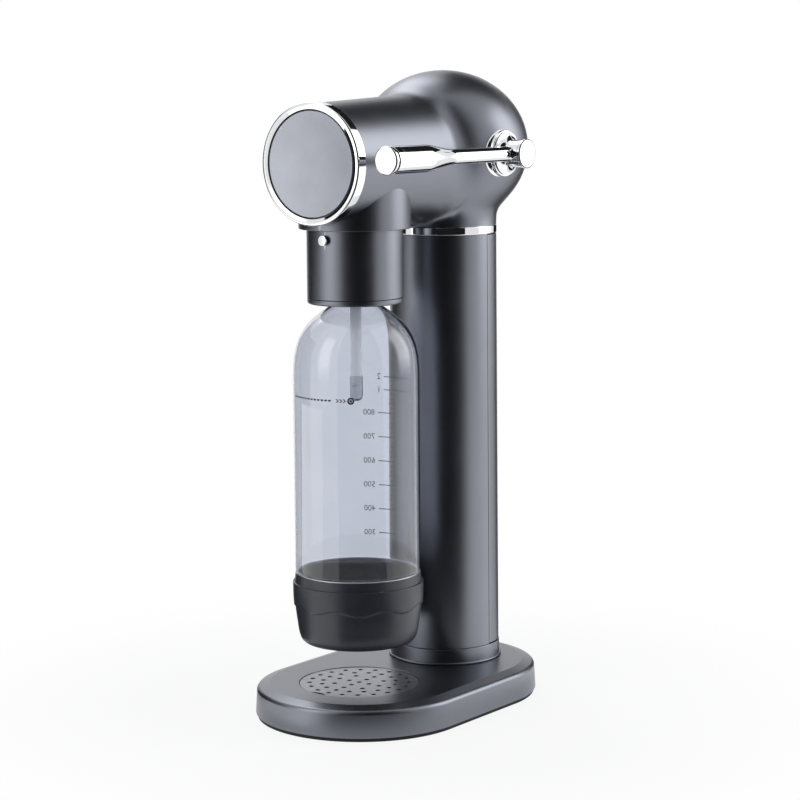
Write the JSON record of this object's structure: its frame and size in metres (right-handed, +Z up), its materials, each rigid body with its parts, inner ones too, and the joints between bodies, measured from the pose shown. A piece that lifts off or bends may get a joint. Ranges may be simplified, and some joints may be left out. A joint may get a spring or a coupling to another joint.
{
  "type": "sparkling water maker",
  "caption": "Lever-operated countertop sparkling water maker: round column with a gas cylinder inside, ball-shaped head, horizontal barrel and a screw-on bottle over a drip tray.",
  "frame": {"origin": "on the table under the middle of the base's outline", "axes": "+X to the side that carries the lever, +Y from the bottle towards the column, +Z up"},
  "size_m": [0.1563, 0.2366, 0.4511],
  "materials": {
    "gunmetal": "satin metallic paint",
    "chrome": "polished",
    "satin_silver": "satin",
    "grille_grey": "satin paint",
    "steel": "machined",
    "brass": "machined",
    "black_rubber": "matt",
    "charcoal_plastic": "fine matt texture",
    "black_plastic": "matt",
    "white_plastic": "smooth",
    "clear_plastic": "clear, polished",
    "cylinder_paint": "satin paint"
  },
  "bodies": {
    "stand": {"rubber_foot": "black_rubber", "base_plate": "black_plastic", "base_housing": "gunmetal", "drip_cup": "black_plastic", "base_screw_1": "steel", "base_screw_2": "steel", "base_screw_3": "steel", "base_screw_4": "steel", "column_collar": "gunmetal", "column_front_shell": "gunmetal", "column_frame": "steel", "cylinder_cradle": "black_plastic", "trim_ring": "chrome", "valve_body": "brass", "cylinder_gasket": "black_rubber", "plunger_spring": "steel", "gas_pipe": "black_plastic", "spindle_bracket": "steel", "bracket_screw_1": "steel", "bracket_screw_2": "steel", "head_housing": "gunmetal", "barrel_bezel": "chrome", "barrel_disc": "satin_silver", "disc_carrier": "black_plastic", "spout_saddle": "gunmetal", "bottle_sleeve": "gunmetal", "sleeve_lower_ring": "gunmetal", "carbonation_head": "black_plastic", "thread_ring": "white_plastic", "bottle_seal": "black_rubber", "carbonation_tube": "white_plastic", "nozzle_tip": "steel", "head_screw_1": "steel", "head_screw_2": "steel", "head_screw_3": "steel", "button_spring": "steel", "vent_valve": "brass", "lever_rosette": "chrome", "lever_bush": "white_plastic"},
    "lever": {"lever_spindle": "steel", "lever_cam": "steel", "lever_hub": "chrome", "lever_hub_cap": "chrome", "hub_grub_screw": "steel", "lever_arm": "chrome", "lever_grip_cap": "chrome"},
    "plunger": {"valve_plunger": "steel"},
    "gas_cylinder": {"gas_cylinder": "cylinder_paint", "cylinder_valve": "brass"},
    "pin": {"cylinder_pin": "steel"},
    "button": {"release_button": "chrome"},
    "rear_cover": {"rear_cover": "gunmetal"},
    "grille": {"drip_grille": "grille_grey"},
    "bottle": {"bottle": "clear_plastic", "bottle_base_cup": "charcoal_plastic"}
  },
  "joints": [
    {"name": "lever_pull", "type": "hinge", "parent": "stand", "child": "lever", "pos_m": [0, 0.0479, 0.3929], "axis": [1, 0, 0], "range_deg": [0, 50], "stiffness_Nm_per_rad": 1.2, "springref_deg": -22.92},
    {"name": "plunger_press", "type": "slide", "parent": "stand", "child": "plunger", "axis": [0, 0, -1], "range_m": [0, 0.003], "deforming": ["plunger_spring"]},
    {"name": "pin_press", "type": "slide", "parent": "gas_cylinder", "child": "pin", "axis": [0, 0, -1], "range_m": [0, 0.003]},
    {"name": "button_press", "type": "slide", "parent": "stand", "child": "button", "axis": [0, 1, 0], "range_m": [0, 0.0025], "stiffness_N_per_m": 400, "springref_m": -0.002, "deforming": ["button_spring"]},
    {"name": "cylinder_drop", "type": "slide", "parent": "stand", "child": "gas_cylinder", "axis": [0, 0, -1], "range_m": [0, 0.0166]},
    {"name": "cover_pull", "type": "slide", "parent": "stand", "child": "rear_cover", "axis": [0, 1, 0], "range_m": [0, 0.06]},
    {"name": "grille_lift", "type": "slide", "parent": "stand", "child": "grille", "axis": [0, 0, 1], "range_m": [0, 0.012]},
    {"name": "bottle_drop", "type": "slide", "parent": "stand", "child": "bottle", "axis": [0, 0, -1], "range_m": [0, 0.0174]}
  ],
  "couplings": [
    {"joint": "plunger_press", "follows": "lever_pull", "m_per_rad": 0.0034377},
    {"joint": "pin_press", "follows": "lever_pull", "m_per_rad": 0.0034377}
  ]
}
